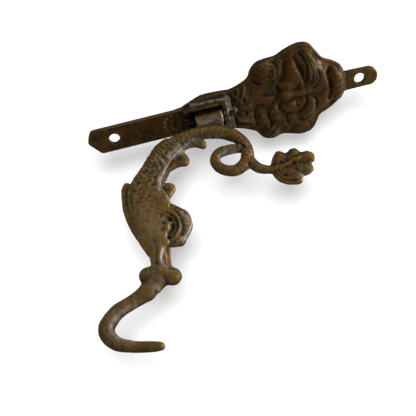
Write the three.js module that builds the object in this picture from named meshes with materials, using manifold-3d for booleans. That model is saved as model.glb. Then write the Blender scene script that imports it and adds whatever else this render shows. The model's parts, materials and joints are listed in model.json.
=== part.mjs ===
// Cast brass wall hook with a swinging arm.
// A wall plate with a relief mask carries a hinge housing; a dolphin-shaped arm turns on an upright pin
// and ends in an upward-opening hook.
// Millimetres. +Z is up, the front faces -Y, and the back of the plate is the plane Y = 0.
// The origin is on the back, level with the middle of the hinge and on the strap's centre line.

import * as THREE from 'three';
import { mergeVertices } from 'three/addons/utils/BufferGeometryUtils.js';
import Module from 'manifold-3d';

// ---------------------------------------------------------------- driving dimensions

const plateThickness = 2.8;
const strapHalfWidth = 5.6;
const strapBottom = -53;
const tongueHalfWidth = 4.1;
const tongueTop = 76.9;
const tongueShift = 0.3; // the tongue stands a little off the strap's centre line

const screwHoleRadius = 2.4;
const lowerHole = [0, -41.4];
const upperHole = [tongueShift, 68.8];

const pinRadius = 1.2;
const pinHeadRadius = 1.9;
const pinHeadHeight = 0.8;
const earBoreRadius = 1.25;
const barrelBoreRadius = 1.29;
const pinFacets = 24;
const boreFacets = 48;

const axisHeight = 6.2; // the pin's centre line, in front of the wall
const barrelRadius = 2.7;
const barrelBottom = -5.3;
const barrelTop = 6.7;
const earRadius = 2.5;
const lowerEar = [-10.0, -7.6];
const upperEar = [7.3, 13.0];

const cheekHeight = 6.2;
const housingHalfWidth = 8.2;
const recessHalfWidth = 4.6;
const recessBottom = -7.6;
const recessTop = 9.4;
const recessFloor = 1.2;

const maskCentre = [-1.2, 38];
const maskPeak = 7.6; // height of the face's dome above the wall

const armAngle = 57; // degrees between the arm and the wall, at rest
const bodyThickness = 7;
const finThickness = 3;
const leafThickness = 2.6;

// ---------------------------------------------------------------- solids

const wasm = await Module();
wasm.setup();

function solid(geometry) {
  const bare = geometry.clone();
  bare.deleteAttribute('normal');
  bare.deleteAttribute('uv');
  const merged = mergeVertices(bare, 1e-4);
  return new wasm.Manifold(new wasm.Mesh({
    numProp: 3,
    vertProperties: new Float32Array(merged.attributes.position.array),
    triVerts: new Uint32Array(merged.index.array),
  }));
}

function joined(geometries) {
  return geometries.map(solid).reduce((whole, piece) => whole.add(piece));
}

function geometryOf(manifold) {
  const mesh = manifold.getMesh();
  const geometry = new THREE.BufferGeometry();
  geometry.setAttribute('position', new THREE.BufferAttribute(new Float32Array(mesh.vertProperties), 3));
  geometry.setIndex(new THREE.BufferAttribute(new Uint32Array(mesh.triVerts), 1));
  geometry.computeVertexNormals();
  return geometry;
}

// Stands an outline drawn in x and z up, from height y0 to height y1 in front of the plane Y = 0.
function slab(outline, low, high, segments = 3) {
  const options = { depth: high - low, bevelEnabled: false, curveSegments: segments };
  return new THREE.ExtrudeGeometry(outline, options).rotateX(Math.PI / 2).translate(0, -low, 0);
}

// The same with rounded edges, the thickness centred on Y = 0.
function plump(outline, thickness, edge, segments = 6) {
  const options = {
    depth: thickness - 2 * edge,
    bevelEnabled: true,
    bevelThickness: edge,
    bevelSize: edge * 0.7,
    bevelOffset: -edge * 0.7,
    bevelSegments: 2,
    curveSegments: segments,
  };
  return new THREE.ExtrudeGeometry(outline, options)
    .rotateX(Math.PI / 2)
    .translate(0, thickness / 2 - edge, 0);
}

function block(x0, x1, y0, y1, z0, z1) {
  return new THREE.BoxGeometry(x1 - x0, y1 - y0, z1 - z0)
    .translate((x0 + x1) / 2, (y0 + y1) / 2, (z0 + z1) / 2);
}

// A round bar along Z.
function upright(radius, z0, z1, facets) {
  return new THREE.CylinderGeometry(radius, radius, z1 - z0, facets)
    .rotateX(Math.PI / 2)
    .translate(0, 0, (z0 + z1) / 2);
}

// The straight hole for a wood screw, along Y.
function screwCut([x, z]) {
  return new THREE.CylinderGeometry(screwHoleRadius, screwHoleRadius, 20, 24).translate(x, 0, z);
}

// An egg in relief: centre x and z, height of its centre, and its three half sizes.
function egg(x, z, height, halfX, halfZ, halfY, facets = 16) {
  return new THREE.SphereGeometry(1, facets, facets * 0.625)
    .scale(halfX, halfY, halfZ)
    .translate(x, -height, z);
}

// A smooth closed outline through points, cut into equal steps.
function closedLoop(points, steps) {
  const corners = points.map(([x, z]) => new THREE.Vector3(x, z, 0));
  const loop = new THREE.CatmullRomCurve3(corners, true, 'centripetal').getSpacedPoints(steps);
  return new THREE.Shape(loop.slice(0, steps).map((point) => new THREE.Vector2(point.x, point.y)));
}

// A round bar in the plane Y = 0 along a smooth path; each stop is [x, z, radius].
function taperedBar(stops, steps, sides = 12) {
  const path = new THREE.CatmullRomCurve3(stops.map(([x, z]) => new THREE.Vector3(x, 0, z)));
  const radii = new THREE.CatmullRomCurve3(stops.map((stop) => new THREE.Vector3(stop[2], 0, 0)));
  const positions = [];
  const triangles = [];
  for (let i = 0; i <= steps; i += 1) {
    const t = i / steps;
    const centre = path.getPoint(t);
    const along = path.getTangent(t);
    const across = new THREE.Vector3(-along.z, 0, along.x);
    const radius = radii.getPoint(t).x;
    for (let j = 0; j < sides; j += 1) {
      const turn = (2 * Math.PI * j) / sides;
      positions.push(
        centre.x + radius * Math.cos(turn) * across.x,
        radius * Math.sin(turn),
        centre.z + radius * Math.cos(turn) * across.z,
      );
    }
  }
  for (let i = 0; i < steps; i += 1) {
    for (let j = 0; j < sides; j += 1) {
      const a = i * sides + j;
      const b = i * sides + ((j + 1) % sides);
      triangles.push(a, a + sides, b, b, a + sides, b + sides);
    }
  }
  const last = steps * sides;
  for (let j = 1; j < sides - 1; j += 1) {
    triangles.push(0, j, j + 1);
    triangles.push(last, last + j + 1, last + j);
  }
  const geometry = new THREE.BufferGeometry();
  geometry.setAttribute('position', new THREE.Float32BufferAttribute(positions, 3));
  geometry.setIndex(triangles);
  return geometry;
}

// ---------------------------------------------------------------- wall plate

// Left and right runs of the plate's edge between the strap and the tongue, both going up.
const leftEdge = [
  [-6.1, -9.8], [-8.3, -4.1], [-9.5, 0.5], [-9.2, 8], [-9.0, 12.9], [-11.6, 20], [-15.4, 22.5],
  [-18.0, 25.8], [-18.6, 30], [-18.8, 34], [-20.8, 39], [-22.0, 44.5], [-20.8, 49], [-16.7, 51.8],
  [-12.9, 54.2], [-10.3, 58.5], [-7.6, 61.5], [-4.1, 62.6],
];
const rightEdge = [
  [5.9, -9.8], [8.0, -4.1], [9.2, 0.5], [8.9, 8], [9.9, 13.6], [11.9, 18], [13.3, 20.1],
  [16.9, 22.8], [18.2, 26.8], [17.3, 31], [18.2, 34.8], [19.5, 39.5], [18.6, 44.6], [15.2, 47.4],
  [12.5, 49.2], [10.6, 53.5], [8.1, 57.6], [4.4, 61],
];

const vectors = (points) => points.map(([x, z]) => new THREE.Vector2(x, z));

function plateOutline() {
  const outline = new THREE.Shape();
  outline.moveTo(-strapHalfWidth, -50.4);
  outline.quadraticCurveTo(-4.4, -52.2, -0.6, strapBottom);
  outline.lineTo(1.2, -51.7);
  outline.lineTo(strapHalfWidth, -48);
  outline.lineTo(strapHalfWidth, -14);
  outline.splineThru(vectors(rightEdge));
  outline.absarc(tongueShift, tongueTop - tongueHalfWidth, tongueHalfWidth, 0, Math.PI, false);
  outline.splineThru(vectors([...leftEdge].reverse()));
  outline.lineTo(-strapHalfWidth, -14);
  return outline;
}

// The mask's own edge: the plate's edge above the beard, closed across the chin.
function maskRim() {
  const right = new THREE.SplineCurve(vectors(rightEdge.slice(4))).getPoints(26);
  const left = new THREE.SplineCurve(vectors([...leftEdge.slice(4)].reverse())).getPoints(26);
  return [...right, ...left];
}

// The mask's dome: the rim shrunk ring by ring towards the middle while it rises.
function maskDome() {
  const rim = maskRim();
  const rings = [[1, 0.8], [1, 3.1], [0.94, 4.3], [0.8, 5.9], [0.6, 7.0], [0.35, maskPeak]];
  const positions = [];
  for (const [share, height] of rings) {
    for (const point of rim) {
      positions.push(
        maskCentre[0] + share * (point.x - maskCentre[0]),
        -height,
        maskCentre[1] + share * (point.y - maskCentre[1]),
      );
    }
  }
  const n = rim.length;
  const bottom = positions.length / 3;
  positions.push(maskCentre[0], -rings[0][1], maskCentre[1]);
  positions.push(maskCentre[0], -maskPeak - 0.1, maskCentre[1]);
  const top = bottom + 1;
  const triangles = [];
  for (let j = 0; j < n; j += 1) {
    const next = (j + 1) % n;
    triangles.push(bottom, next, j);
    for (let i = 0; i < rings.length - 1; i += 1) {
      const a = i * n + j;
      const b = i * n + next;
      triangles.push(a, b, a + n, b, b + n, a + n);
    }
    const lastRing = (rings.length - 1) * n;
    triangles.push(top, lastRing + j, lastRing + next);
  }
  const geometry = new THREE.BufferGeometry();
  geometry.setAttribute('position', new THREE.Float32BufferAttribute(positions, 3));
  geometry.setIndex(triangles);
  return geometry;
}

// Brow, nose, cheeks, muzzle, forelock and beard as rounded masses.
function maskFeatures() {
  return [
    egg(-2.0, 41, 5.6, 3.0, 11, 4.4),
    egg(-10.5, 46.5, 5.0, 8.5, 3.6, 3.6),
    egg(6.5, 46, 5.0, 7.5, 3.6, 3.6),
    egg(-8.5, 38, 5.0, 5.5, 5, 4.2),
    egg(4.5, 37.5, 5.0, 5.0, 5.2, 4.2),
    egg(-11.5, 27, 3.6, 6.6, 5, 4.4),
    egg(8.8, 25.5, 3.6, 7.4, 4.4, 4.4),
    egg(-0.8, 58, 3.4, 7.4, 3.6, 3.2),
    egg(-0.5, 17, 3.8, 8.4, 7.5, 4.4),
  ];
}

// The low box around the hinge: two cheeks joined by end walls.
function housingOutline() {
  const outline = new THREE.Shape();
  const waist = 5.2;
  outline.moveTo(-waist, -10);
  outline.lineTo(waist, -10);
  outline.quadraticCurveTo(housingHalfWidth - 0.6, -5.5, housingHalfWidth, 0);
  outline.lineTo(housingHalfWidth - 0.8, 11.4);
  outline.lineTo(-housingHalfWidth + 0.8, 11.4);
  outline.lineTo(-housingHalfWidth, 0);
  outline.quadraticCurveTo(-housingHalfWidth + 0.6, -5.5, -waist, -10);
  return outline;
}

function ear([z0, z1]) {
  return [
    upright(earRadius, z0, z1, 24).translate(0, -axisHeight, 0),
    block(-earRadius, earRadius, -axisHeight, -recessFloor, z0, z1),
  ];
}

function rosette() {
  const middle = -15.5;
  const petals = [egg(0, middle, plateThickness - 0.2, 1.3, 1.3, 1.4, 8)];
  for (let i = 0; i < 6; i += 1) {
    const turn = (i * Math.PI) / 3;
    const x = 2.2 * Math.cos(turn);
    const z = middle + 2.2 * Math.sin(turn);
    petals.push(egg(x, z, plateThickness - 0.3, 1.25, 1.25, 1.0, 8));
  }
  return petals;
}

function wallPlate() {
  const slabs = joined([slab(plateOutline(), 0, plateThickness), maskDome(), ...maskFeatures()]);
  const housing = solid(slab(housingOutline(), 1, cheekHeight));
  const recess = solid(block(
    -recessHalfWidth, recessHalfWidth, -20, -recessFloor, recessBottom, recessTop,
  ));
  let plate = slabs.add(housing).subtract(recess);
  plate = plate.add(joined([...ear(lowerEar), ...ear(upperEar), ...rosette()]));
  const bore = upright(earBoreRadius, -20, upperEar[1] - 1.5, boreFacets).translate(0, -axisHeight, 0);
  plate = plate.subtract(solid(bore));
  for (const hole of [lowerHole, upperHole]) {
    plate = plate.subtract(solid(screwCut(hole)));
  }
  const back = solid(block(-60, 60, 0, 20, -80, 100));
  return plate.subtract(back);
}

// ---------------------------------------------------------------- hinge pin

function hingePin() {
  const bottom = lowerEar[0] - 0.05;
  const top = upperEar[1] - 1.7;
  const profile = [
    [0, bottom - pinHeadHeight],
    [pinHeadRadius * 0.7, bottom - pinHeadHeight],
    [pinHeadRadius, bottom - pinHeadHeight * 0.4],
    [pinHeadRadius, bottom],
    [pinRadius, bottom],
    [pinRadius, top],
    [0, top],
  ];
  return new THREE.LatheGeometry(profile.map(([r, z]) => new THREE.Vector2(r, z)), pinFacets)
    .rotateX(Math.PI / 2);
}

// ---------------------------------------------------------------- swinging arm
// Drawn in its own plane: x is the distance from the pin's axis, z is up.

function bodyOutline() {
  return closedLoop([
    [5.9, -19], [8.3, -25], [12.4, -28.6], [17.8, -33.2], [23, -38.2], [22.2, -40.4], [24, -42.2],
    [28, -43], [35.2, -43.2], [42.5, -42.1], [49, -39.8], [55.3, -37.1], [60, -36.8], [65, -36.5],
    [65, -29.2], [60, -28.2], [56.4, -27.8], [54.9, -25.5], [54.8, -22.2], [52.4, -20.2], [50.3, -18],
    [46.6, -16.8], [42.3, -17.1], [39, -19.7], [37.2, -22.4], [33, -23.8], [27, -25.2], [22, -22.6],
    [17.5, -19], [12, -13],
  ], 80);
}

function finlet(points) {
  return plump(closedLoop(points, 20), finThickness, 0.7);
}

function finlets() {
  return [
    finlet([[8, -9], [10.4, -3.6], [13.2, -3.9], [13.6, -5.4], [12, -8.4], [11.5, -11.5]]),
    finlet([[11.6, -15.5], [14.8, -12.6], [17.9, -11.8], [20, -13.4], [19.6, -17], [20.6, -22], [15, -22]]),
    finlet([[26.2, -26], [26.6, -21.8], [28.9, -20.1], [31.4, -21.6], [33.4, -24.4], [30, -27]]),
  ];
}

function tailRod() {
  return taperedBar([
    [16, -26, 4.4], [10.1, -19.8, 3.6], [6.8, -13, 2.9], [6, -6, 2.9], [6.9, 1, 3], [9.8, 7.2, 2.9],
    [14.3, 11.3, 2.6], [19.9, 12.9, 2.5], [25.3, 11.1, 2.5], [27.8, 5.8, 2.5], [25.8, 0.7, 2.3],
    [21.4, -1.3, 2.1], [18, 0.6, 2], [17.2, 4.6, 2.1], [17.8, 9.2, 1.9], [19.4, 12.6, 1.5],
  ], 56, 10);
}

function leafStem() {
  return taperedBar([[24.4, 12.4, 2.3], [28.6, 14.6, 2.2], [31, 18, 1.9], [31.8, 22.5, 1.5]], 10, 10);
}

function leaf() {
  const outline = closedLoop([
    [31.8, 20], [28, 21.1], [24.6, 23.6], [24.3, 25.6], [25.7, 28], [24.4, 30.4], [25, 32.6], [26.9, 34],
    [27.4, 37], [29.4, 39], [32, 38.7], [33.3, 36.9], [36, 37.2], [37.8, 34.9], [38.4, 32.2], [41, 30.8],
    [40.7, 26.8], [38.8, 22.9], [35.6, 20.6],
  ], 48);
  return plump(outline, leafThickness, 0.6, 4);
}

function collar() {
  return [
    new THREE.SphereGeometry(3.1, 12, 8).translate(67.5, 0, -29.2),
    new THREE.SphereGeometry(3.2, 12, 8).translate(64.8, 0, -38.6),
    taperedBar([[67.5, -29.2, 2.7], [66.5, -33, 3.2], [64.8, -38.6, 2.9]], 6),
  ];
}

function hook() {
  return taperedBar([
    [66, -34, 4.2], [71, -39.8, 3.7], [73.7, -46, 2.9], [76.6, -53.5, 3.1], [82.5, -58.6, 3.3],
    [88.6, -56, 2.8], [91.9, -49, 2.3], [93.6, -42, 2.1], [94.2, -38.9, 1.6],
  ], 30, 10);
}

function barrel() {
  const webHalfThickness = 1.8;
  return [
    upright(barrelRadius, barrelBottom, barrelTop, 32),
    block(0, 5.6, -webHalfThickness, webHalfThickness, barrelBottom, barrelTop - 1),
  ];
}

function swingArm() {
  const casting = joined([
    plump(bodyOutline(), bodyThickness, 2, 3),
    ...finlets(),
    tailRod(),
    leafStem(),
    leaf(),
    ...collar(),
    hook(),
    ...barrel(),
  ]);
  return casting.subtract(solid(upright(barrelBoreRadius, -20, 20, boreFacets)));
}

// ---------------------------------------------------------------- assembly

function brass(color, roughness) {
  return new THREE.MeshStandardMaterial({ color, roughness, metalness: 0.75 });
}

function named(name, geometry, material) {
  const mesh = new THREE.Mesh(geometry, material);
  mesh.name = name;
  return mesh;
}

const group = new THREE.Group();

group.add(named('wall_plate', geometryOf(wallPlate()), brass(0x4b3623, 0.55)));

const pin = named('hinge_pin', hingePin(), brass(0x5c4a30, 0.45));
pin.position.y = -axisHeight;
group.add(pin);

const armFrame = new THREE.Group();
armFrame.position.y = -axisHeight;
armFrame.rotation.z = THREE.MathUtils.degToRad(-armAngle);
armFrame.add(named('swing_arm', geometryOf(swingArm()), brass(0x7d6238, 0.5)));
group.add(armFrame);

export default group;
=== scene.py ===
"""Looks of the swing-arm wall hook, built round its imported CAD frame.

Each casting is carved on a flat grid: heights and outlines are drawn in millimetres in the piece's own
plane, turned into a solid field, and the surface where that field is zero becomes the mesh.
The wall plate is drawn in x and z of the frame; the arm in its own plane, x from the pin's axis, z up.
"""

import json
import math

import bpy
import numpy as np
from mathutils import Matrix, Vector


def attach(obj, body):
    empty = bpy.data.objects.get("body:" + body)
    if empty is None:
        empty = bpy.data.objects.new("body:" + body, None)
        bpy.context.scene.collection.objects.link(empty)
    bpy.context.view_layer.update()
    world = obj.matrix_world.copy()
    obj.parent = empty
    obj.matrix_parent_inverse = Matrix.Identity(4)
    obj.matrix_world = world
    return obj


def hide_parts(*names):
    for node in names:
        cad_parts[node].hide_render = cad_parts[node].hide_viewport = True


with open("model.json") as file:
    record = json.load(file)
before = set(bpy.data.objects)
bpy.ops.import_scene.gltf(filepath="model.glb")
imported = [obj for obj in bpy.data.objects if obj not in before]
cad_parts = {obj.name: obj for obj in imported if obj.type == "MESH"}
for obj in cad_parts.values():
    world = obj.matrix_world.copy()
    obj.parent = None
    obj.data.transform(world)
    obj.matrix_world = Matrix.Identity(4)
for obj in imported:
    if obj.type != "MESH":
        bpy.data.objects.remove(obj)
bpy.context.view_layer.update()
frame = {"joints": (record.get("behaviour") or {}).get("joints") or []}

MM = 0.001
STEP = 0.31            # grid of the carved surfaces
SEED = 7
SIDE_SHADE = 0.5       # painted shade: how much darker the side walls are made

PIN_AXIS = Vector(frame["joints"][0]["pos_m"])
AXIS_HEIGHT = -PIN_AXIS.y / MM
ARM_ANGLE = 57         # degrees between the arm and the wall, at rest

# wall plate
PLATE_THICKNESS = 2.8
STRAP_HALF_WIDTH = 5.6
TONGUE_HALF_WIDTH = 4.1
TONGUE_TOP = 76.9
TONGUE_SHIFT = 0.3     # the tongue stands a little off the strap's centre line
HOLE_RADIUS = 2.4
HOLES = ((0, -41.4), (TONGUE_SHIFT, 68.8))
CHEEK_HEIGHT = 6.2
HOUSING_HALF_WIDTH = 8.2
RECESS_HALF_WIDTH = 4.6
RECESS_BOTTOM = -7.6
RECESS_FLOOR = 1.2
EAR_RADIUS = 2.5
LOWER_EAR_Z = (-10.0, -7.6)
UPPER_EAR_Z = (7.3, 13.0)

# pin and barrel
PIN_RADIUS = 1.2
PIN_HEAD_RADIUS = 1.9
EAR_BORE_RADIUS = 1.25
BORE_RADIUS = 1.29
BARREL_RADIUS = 2.7
BARREL_Z = (-5.3, 6.7)


# ---------------------------------------------------------------- carving tools

def smooth_path(stops, steps=8, closed=False):
    """A smooth curve through stops. Further columns, such as a radius, run along with it."""
    p = np.asarray(stops, float)
    if closed:
        p = np.vstack([p[-1:], p, p[:2]])
    else:
        p = np.vstack([2 * p[:1] - p[1:2], p, 2 * p[-1:] - p[-2:-1]])
    t = np.linspace(0, 1, steps, endpoint=False)[:, None]
    runs = []
    for a, b, c, d in zip(p[:-3], p[1:-2], p[2:-1], p[3:]):
        runs.append(0.5 * (2 * b + (c - a) * t + (2 * a - 5 * b + 4 * c - d) * t ** 2
                           + (3 * b - a - 3 * c + d) * t ** 3))
    if not closed:
        runs.append(p[-2:-1])
    return np.vstack(runs)


def nearest(path, x, z):
    """Distance from each x, z to a path, and the place along it."""
    path = np.asarray(path, float)
    best = np.full(x.shape, 1e9)
    place = np.zeros(x.shape)
    lengths = np.hypot(*(path[1:, :2] - path[:-1, :2]).T)
    starts = np.concatenate([[0], np.cumsum(lengths)])
    for (x0, z0), (x1, z1), start, length in zip(path[:-1, :2], path[1:, :2], starts, lengths):
        if length < 1e-9:
            continue
        dx, dz = (x1 - x0) / length, (z1 - z0) / length
        s = np.clip((x - x0) * dx + (z - z0) * dz, 0, length)
        d = np.hypot(x - x0 - s * dx, z - z0 - s * dz)
        closer = d < best
        best = np.where(closer, d, best)
        place = np.where(closer, start + s, place)
    return best, place


def depth_inside(outline, x, z):
    """Distance to a closed outline, positive inside it."""
    ring = np.vstack([outline, outline[:1]])
    d = nearest(ring, x, z)[0]
    inside = np.zeros(x.shape, bool)
    for (x0, z0), (x1, z1) in zip(ring[:-1], ring[1:]):
        if z0 == z1:
            continue
        spans = (z0 > z) != (z1 > z)
        inside ^= spans & (x < x0 + (z - z0) * (x1 - x0) / (z1 - z0))
    return np.where(inside, d, -d)


def higher(a, b, blend):
    """The larger of a and b, with a soft crease of width blend where they meet."""
    h = np.clip(0.5 + 0.5 * (a - b) / blend, 0, 1)
    return b + (a - b) * h + blend * h * (1 - h)


def lower(a, b, blend):
    """The smaller of a and b, blended in the same way."""
    return -higher(-a, -b, blend)


def ease(t):
    """Rises smoothly from 0 to 1 as t does, and stays flat outside."""
    t = np.clip(t, 0, 1)
    return t * t * (3 - 2 * t)


def soften(h, rounds):
    """Blurs heights as wear does."""
    for _ in range(rounds):
        for axis in (0, 1):
            h = (np.roll(h, 1, axis) + 2 * h + np.roll(h, -1, axis)) / 4
    return h


def quarter_round(d, radius):
    """Drop below a face at distance d inside its rounded edge."""
    d = np.clip(d, 0, radius)
    return np.sqrt(radius ** 2 - (radius - d) ** 2) - radius


def ripples(x, z, size, seed):
    """Smooth random heights, about -1 to 1, with lumps of the given size."""
    rng = np.random.default_rng(seed)
    gx = (x - x.min()) / size
    gz = (z - z.min()) / size
    grid = rng.uniform(-1, 1, (int(gx.max()) + 2, int(gz.max()) + 2))
    i, j = gx.astype(int), gz.astype(int)
    u, v = ease(gx - i), ease(gz - j)
    low = grid[i, j] * (1 - u) + grid[i + 1, j] * u
    high = grid[i, j + 1] * (1 - u) + grid[i + 1, j + 1] * u
    return low * (1 - v) + high * v


class Relief:
    """Heights over a rectangle of x and z."""

    def __init__(self, x_range, z_range):
        xs = np.arange(x_range[0], x_range[1], STEP)
        zs = np.arange(z_range[0], z_range[1], STEP)
        self.x, self.z = np.meshgrid(xs, zs, indexing="ij")
        self.h = np.zeros(self.x.shape)

    def window(self, low, high):
        i0, j0 = [max(0, int((low[k] - g[0, 0]) / STEP)) for k, g in enumerate((self.x, self.z))]
        i1, j1 = [int((high[k] - g[0, 0]) / STEP) + 2 for k, g in enumerate((self.x, self.z))]
        return slice(i0, max(i1, i0 + 1)), slice(j0, max(j1, j0 + 1))

    def ridge(self, stops, width, height, taper=True):
        """A raised line, or a groove where height is below zero, thinning towards its ends."""
        path = smooth_path(stops)
        w = self.window(path.min(0) - 2.5 * width, path.max(0) + 2.5 * width)
        d, place = nearest(path, self.x[w], self.z[w])
        swell = np.exp(-(d / width) ** 2)
        if taper:
            t = place / max(place.max(), 1e-6)
            swell *= np.clip(4 * t * (1 - t), 0, 1) ** 0.5 * 0.8 + 0.2
        self.h[w] += height * swell

    def dome(self, centre, half_sizes, turn=0.0, power=1.0):
        """1 at the middle of an oval and 0 at its edge, with the window it covers."""
        reach = max(half_sizes)
        w = self.window(np.array(centre) - reach, np.array(centre) + reach)
        c, s = math.cos(math.radians(turn)), math.sin(math.radians(turn))
        dx, dz = self.x[w] - centre[0], self.z[w] - centre[1]
        along = (dx * c + dz * s) / half_sizes[0]
        across = (dz * c - dx * s) / half_sizes[1]
        return np.clip(1 - along ** 2 - across ** 2, 0, 1) ** power, w

    def bump(self, centre, half_sizes, height, turn=0.0):
        """Adds a rounded swelling, or a dip where height is below zero."""
        shape, w = self.dome(centre, half_sizes, turn, 1.5)
        self.h[w] += height * shape

    def mass(self, centre, half_sizes, base, top, turn=0.0, blend=0.5):
        """A rounded body that rises from base to top and meets what is there in a crease."""
        shape, w = self.dome(centre, half_sizes, turn, 0.5)
        body = np.where(shape > 0, base + (top - base) * shape, -50)
        self.h[w] = np.where(shape > 0, higher(self.h[w], body, blend), self.h[w])

    def hatching(self, start, end, stroke, count, width, height):
        """Short strokes side by side from start to end, each running along stroke."""
        stroke = np.array(stroke, float)
        for t in np.linspace(0, 1, count):
            foot = np.array(start) * (1 - t) + np.array(end) * t
            bow = np.array([-stroke[1], stroke[0]]) * 0.08
            self.ridge([foot, foot + stroke / 2 + bow, foot + stroke], width, height)


def surface_net(field, origin):
    """Vertices and quads of the surface where the field is zero. It is below zero inside."""
    inside = field < 0
    shape = tuple(n - 1 for n in field.shape)
    corners = [(i, j, k) for i in (0, 1) for j in (0, 1) for k in (0, 1)]
    count = np.zeros(shape, np.int8)
    for i, j, k in corners:
        count += inside[i:i + shape[0], j:j + shape[1], k:k + shape[2]]
    cell = np.argwhere((count > 0) & (count < 8))
    number = np.full(shape, -1, np.int32)
    number[tuple(cell.T)] = np.arange(len(cell))

    total = np.zeros((len(cell), 3))
    hits = np.zeros(len(cell))
    for axis in range(3):
        others = [n for n in range(3) if n != axis]
        for a in (0, 1):
            for b in (0, 1):
                start = np.zeros(3, int)
                start[others] = (a, b)
                end = start.copy()
                end[axis] = 1
                f0 = field[tuple((cell + start).T)]
                f1 = field[tuple((cell + end).T)]
                crossed = (f0 < 0) != (f1 < 0)
                point = (cell[crossed] + start).astype(float)
                point[:, axis] += f0[crossed] / (f0[crossed] - f1[crossed])
                total[crossed] += point
                hits[crossed] += 1
    vertices = np.asarray(origin) + STEP * total / hits[:, None]

    quads = []
    for axis in range(3):
        a, b = [n for n in range(3) if n != axis]
        near = [slice(1, -1)] * 3
        far = [slice(1, -1)] * 3
        near[axis], far[axis] = slice(0, -1), slice(1, None)
        first, second = inside[tuple(near)], inside[tuple(far)]
        for starts_inside in (True, False):
            edge = np.argwhere((first != second) & (first == starts_inside))
            edge[:, [a, b]] += 1
            back_a, back_b = np.eye(3, dtype=int)[a], np.eye(3, dtype=int)[b]
            round_the_edge = (back_a + back_b, back_b, 0 * back_a, back_a)
            quad = np.stack([number[tuple((edge - back).T)] for back in round_the_edge], 1)
            if starts_inside == (axis == 1):
                quad = quad[:, ::-1]
            quads.append(quad)
    return vertices, np.vstack(quads)


def relax(vertices, quads, rounds, strength=0.5):
    """Moves each vertex towards the mean of its neighbours."""
    links = np.vstack([quads[:, [0, 1]], quads[:, [1, 2]], quads[:, [2, 3]], quads[:, [3, 0]]])
    n = len(vertices)
    degree = np.bincount(links[:, 0], minlength=n) + np.bincount(links[:, 1], minlength=n)
    v = vertices.copy()
    for _ in range(rounds):
        mean = np.stack([
            np.bincount(links[:, 0], v[links[:, 1], k], n) + np.bincount(links[:, 1], v[links[:, 0], k], n)
            for k in range(3)
        ], 1) / degree[:, None]
        v += strength * (mean - v)
    return v


def normals_of(vertices, quads):
    """Unit normal at each vertex, from the faces round it."""
    first = vertices[quads[:, 2]] - vertices[quads[:, 0]]
    second = vertices[quads[:, 3]] - vertices[quads[:, 1]]
    cross = np.cross(first, second)
    normal = np.zeros_like(vertices)
    for k in range(4):
        for axis in range(3):
            normal[:, axis] += np.bincount(quads[:, k], cross[:, axis], len(vertices))
    return normal / np.maximum(np.linalg.norm(normal, axis=1), 1e-12)[:, None]


def hollowness(vertices, quads, rounds):
    """How far each vertex lies below its surroundings; below zero on ridges and edges."""
    return ((relax(vertices, quads, rounds, 0.7) - vertices) * normals_of(vertices, quads)).sum(1)


def patches(areas, x, z):
    """Sum of soft ovals given as (centre, half sizes, amount)."""
    total = np.zeros(x.shape)
    for (cx, cz), (sx, sz), amount in areas:
        total += amount * np.exp(-((x - cx) / sx) ** 2 - ((z - cz) / sz) ** 2)
    return total


def strokes(lines, x, z):
    """The strongest of soft lines given as (stops, width, amount)."""
    total = np.zeros(x.shape)
    for stops, width, amount in lines:
        distance = nearest(smooth_path(stops), x, z)[0]
        total = np.maximum(total, amount * np.exp(-(distance / width) ** 2))
    return total


def casting(name, field, origin, place, tones_and_shades, dust_and_sheen_lines, plain_back):
    """Turns a field on the grid into a smooth mesh with its wear, tones, painted shade and painted
    highlights written on it.
    """
    vertices, quads = surface_net(field, origin)
    vertices = relax(vertices, quads, 1, 0.35)
    # a plain back carries none of the painted areas and lines
    shown = ease(-vertices[:, 1] - 0.4) if plain_back else 1
    # painted shade: the tone is lowered on walls that turn sideways, away from the front
    sides = ease(1.2 - 1.8 * np.abs(normals_of(vertices, quads)[:, 1]))
    wear_and_painted_light = {
        "fine": hollowness(vertices, quads, 4) / 0.045,
        "broad": hollowness(vertices, quads, 28) / 0.4,
        "tone_and_shade": shown * patches(tones_and_shades, vertices[:, 0], vertices[:, 2]) - SIDE_SHADE * sides,
        "dust_and_sheen": shown * strokes(dust_and_sheen_lines, vertices[:, 0], vertices[:, 2]),
    }
    turned = vertices @ np.array(place.to_3x3()).T * MM + np.array(place.translation)
    mesh = bpy.data.meshes.new(name)
    mesh.from_pydata(turned.tolist(), [], quads.tolist())
    for label, values in wear_and_painted_light.items():
        mesh.attributes.new(label, "FLOAT", "POINT").data.foreach_set(
            "value", np.clip(values, -1, 1).astype(np.float32))
    mesh.shade_smooth()
    piece = bpy.data.objects.new(name, mesh)
    bpy.context.scene.collection.objects.link(piece)
    return piece


# ---------------------------------------------------------------- wall plate

LEFT_EDGE = [
    (-6.1, -9.8), (-8.3, -4.1), (-9.5, 0.5), (-9.2, 8), (-9.0, 12.9), (-11.6, 20), (-15.4, 22.5),
    (-18.0, 25.8), (-18.6, 30), (-18.8, 34), (-20.8, 39), (-22.0, 44.5), (-20.8, 49), (-16.7, 51.8),
    (-12.9, 54.2), (-10.3, 58.5), (-7.6, 61.5), (-4.1, 62.6),
]
RIGHT_EDGE = [
    (5.9, -9.8), (8.0, -4.1), (9.2, 0.5), (8.9, 8), (9.9, 13.6), (11.9, 18), (13.3, 20.1),
    (16.9, 22.8), (18.2, 26.8), (17.3, 31), (18.2, 34.8), (19.5, 39.5), (18.6, 44.6), (15.2, 47.4),
    (12.5, 49.2), (10.6, 53.5), (8.1, 57.6), (4.4, 61),
]
BEARD_START = 4        # the edges run round the mask from this stop on


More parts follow.
